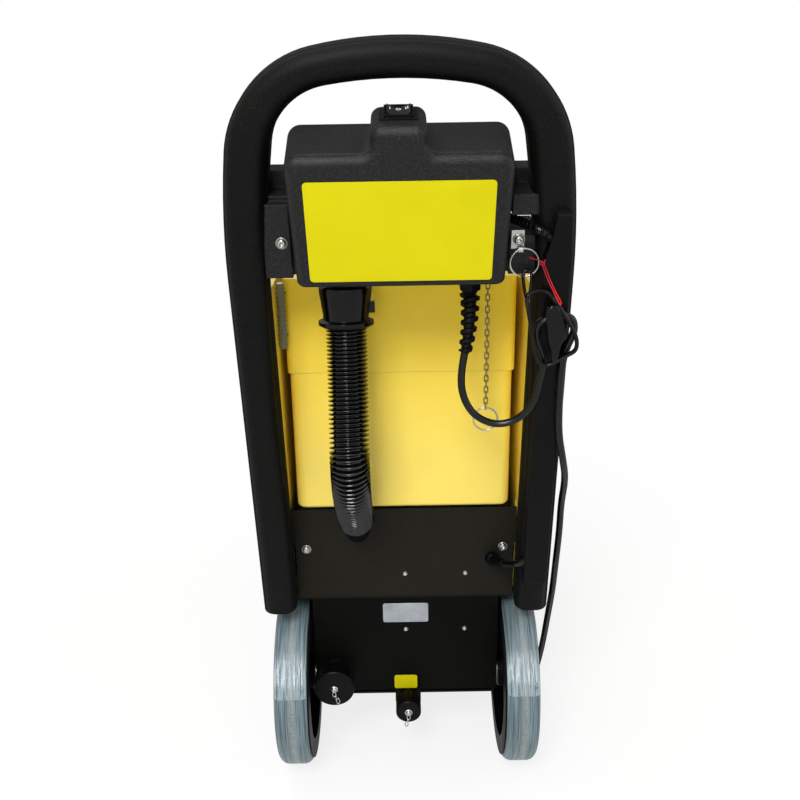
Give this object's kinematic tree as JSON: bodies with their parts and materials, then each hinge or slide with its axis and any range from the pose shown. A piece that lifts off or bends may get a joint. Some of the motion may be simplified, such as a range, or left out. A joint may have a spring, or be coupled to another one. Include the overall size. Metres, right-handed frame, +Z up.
{
  "type": "carpet cleaning machine",
  "caption": "Walk-behind carpet extractor: looped handle with control box, two tanks, suction hose, brush roller under a hood, suction shoe, large wheels and a mains lead",
  "frame": {"origin": "middle of the bounding box without the mains lead, on the floor", "axes": "+X to the operator's right, +Y forward (away from the operator), +Z up"},
  "size_m": [0.4288, 0.9601, 0.9839],
  "materials": {
    "black_moulding": "fine grained moulded plastic",
    "black_gloss": "smooth moulded plastic",
    "steel": "plated steel",
    "label_yellow": "plain printed film, left blank",
    "plate_silver": "plain metal foil plate",
    "body_yellow": "satin rotation-moulded polyethylene",
    "black_rubber": "soft rubber",
    "clear_tube": "clear flexible tube",
    "black_sheet": "powder coat",
    "tyre_grey": "grey solid rubber",
    "aluminium_fan": "cast",
    "float_white": "moulded plastic",
    "bristle": "nylon strands",
    "brass": "turned",
    "hose_black": "flexible plastic"
  },
  "bodies": {
    "machine": {"handle_frame": "black_moulding", "control_box_base": "black_moulding", "control_box_cover": "black_moulding", "screws": "steel", "switch_body": "black_gloss", "yellow_labels": "label_yellow", "rating_plate": "plate_silver", "body_shell": "body_yellow", "solution_tank": "body_yellow", "recovery_tank": "body_yellow", "lid_gasket": "black_rubber", "filler_neck": "body_yellow", "sight_tube": "clear_tube", "chassis_tray": "black_sheet", "tank_deck": "black_sheet", "rear_panel": "black_sheet", "large_drain_spout": "black_moulding", "small_drain_spout": "black_moulding", "axle": "steel", "axle_hardware": "steel", "vac_housing": "black_moulding", "solution_pump": "black_moulding", "brush_motor": "black_sheet", "drive_belt": "black_rubber", "belt_guard": "black_sheet", "brush_bearings": "steel", "brush_housing": "black_sheet", "front_hood": "body_yellow", "spray_bar": "brass", "suction_shoe": "aluminium_fan", "suction_pipe": "black_moulding", "suction_hose": "hose_black", "hose_cuff": "black_moulding", "hose_port": "black_moulding", "cable_gland": "black_moulding", "harness_cable": "hose_black", "cable_duct": "black_moulding", "cord_hook": "black_gloss", "hook_ring": "steel", "mains_lead": "hose_black", "mains_coil": "hose_black", "mains_tail": "hose_black", "mains_plug": "black_gloss", "coil_tie": "black_rubber"},
    "wheel_left": {"tyre_left": "tyre_grey", "rim_left": "black_moulding"},
    "wheel_right": {"tyre_right": "tyre_grey", "rim_right": "black_moulding"},
    "brush": {"brush_roller": "float_white", "brush_bristles": "bristle"},
    "motor_rotor": {"motor_pulley": "steel"},
    "fan": {"vac_fan": "aluminium_fan"},
    "float": {"float_ring": "float_white"},
    "rocker": {"switch_rocker": "black_gloss"},
    "lid": {"tank_lid": "body_yellow"},
    "large_cap": {"large_drain_cap": "black_moulding"},
    "small_cap": {"small_drain_cap": "black_moulding"},
    "filler": {"filler_cap": "black_moulding"},
    "chain": {"hang_chain": "steel"},
    "ring": {"chain_ring": "steel"}
  },
  "joints": [
    {"name": "wheel_left_spin", "type": "hinge", "parent": "machine", "child": "wheel_left", "pos_m": [-0.1545, -0.1676, 0.125], "axis": [1, 0, 0], "continuous": true},
    {"name": "wheel_right_spin", "type": "hinge", "parent": "machine", "child": "wheel_right", "pos_m": [0.1545, -0.1676, 0.125], "axis": [1, 0, 0], "continuous": true},
    {"name": "brush_spin", "type": "hinge", "parent": "machine", "child": "brush", "pos_m": [0, 0.2564, 0.052], "axis": [1, 0, 0], "continuous": true},
    {"name": "motor_spin", "type": "hinge", "parent": "machine", "child": "motor_rotor", "pos_m": [0.168, 0.0824, 0.15], "axis": [1, 0, 0], "continuous": true},
    {"name": "fan_spin", "type": "hinge", "parent": "machine", "child": "fan", "pos_m": [0.035, -0.0576, 0.35], "axis": [0, 0, 1], "continuous": true},
    {"name": "float_rise", "type": "slide", "parent": "machine", "child": "float", "axis": [0, 0, 1], "range_m": [0, 0.04]},
    {"name": "switch_rock", "type": "hinge", "parent": "machine", "child": "rocker", "pos_m": [0, -0.33417, 0.9107], "axis": [0, -0.9778, -0.2096], "range_deg": [-12, 12]},
    {"name": "lid_open", "type": "hinge", "parent": "machine", "child": "lid", "pos_m": [0, -0.1496, 0.722], "axis": [1, 0, 0], "range_deg": [0, 92]},
    {"name": "large_cap_off", "type": "slide", "parent": "machine", "child": "large_cap", "axis": [0, -1, 0], "range_m": [0, 0.035]},
    {"name": "small_cap_off", "type": "slide", "parent": "machine", "child": "small_cap", "axis": [0, -1, 0], "range_m": [0, 0.035]},
    {"name": "filler_cap_off", "type": "slide", "parent": "machine", "child": "filler", "axis": [0, 0, 1], "range_m": [0, 0.05]},
    {"name": "chain_swing", "type": "hinge", "parent": "machine", "child": "chain", "pos_m": [0.0985, -0.2576, 0.7395], "axis": [0, 1, 0], "range_deg": [-7, 7]},
    {"name": "ring_swing", "type": "hinge", "parent": "chain", "child": "ring", "pos_m": [0.0985, -0.2576, 0.5649], "axis": [0, 1, 0], "range_deg": [-25, 25]}
  ],
  "couplings": [
    {"joint": "motor_spin", "follows": "brush_spin", "ratio": 2}
  ]
}
